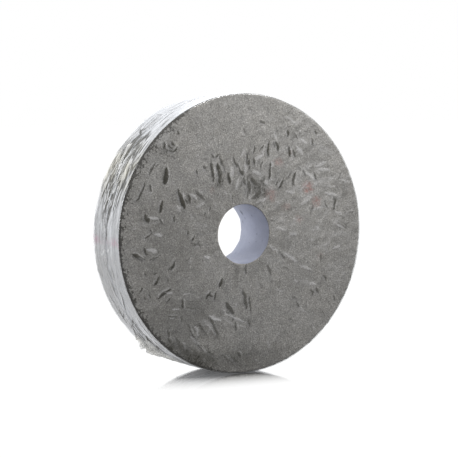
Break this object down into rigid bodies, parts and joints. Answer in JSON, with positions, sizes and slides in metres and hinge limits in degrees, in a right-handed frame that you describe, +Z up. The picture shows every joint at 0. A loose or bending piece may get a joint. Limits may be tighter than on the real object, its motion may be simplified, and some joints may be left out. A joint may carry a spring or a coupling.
{
  "type": "grinding wheel",
  "caption": "Straight grey bonded-abrasive grinding wheel with a plain lined bore, tightly wrapped in creased clear shrink film.",
  "frame": {"origin": "centre of the bore, half way between the two faces", "axes": "+Y along the bore axis, from the front face to the back face; the front face looks towards -Y; +Z up, with the wheel standing on its rim"},
  "size_m": [0.1506, 0.0306, 0.1506],
  "materials": {
    "abrasive": "coarse bonded grit, matt, mid grey",
    "bush": "smooth, pale lavender grey",
    "film": "clear shrink film, glossy, creased",
    "film_weld": "several layers of clear film, milky"
  },
  "bodies": {
    "root": {"abrasive_body": "abrasive", "bore_bush": "bush", "shrink_film_front": "film", "shrink_film_back": "film", "film_edge_seam": "film_weld", "film_corner_gathers": "film_weld"}
  },
  "joints": []
}
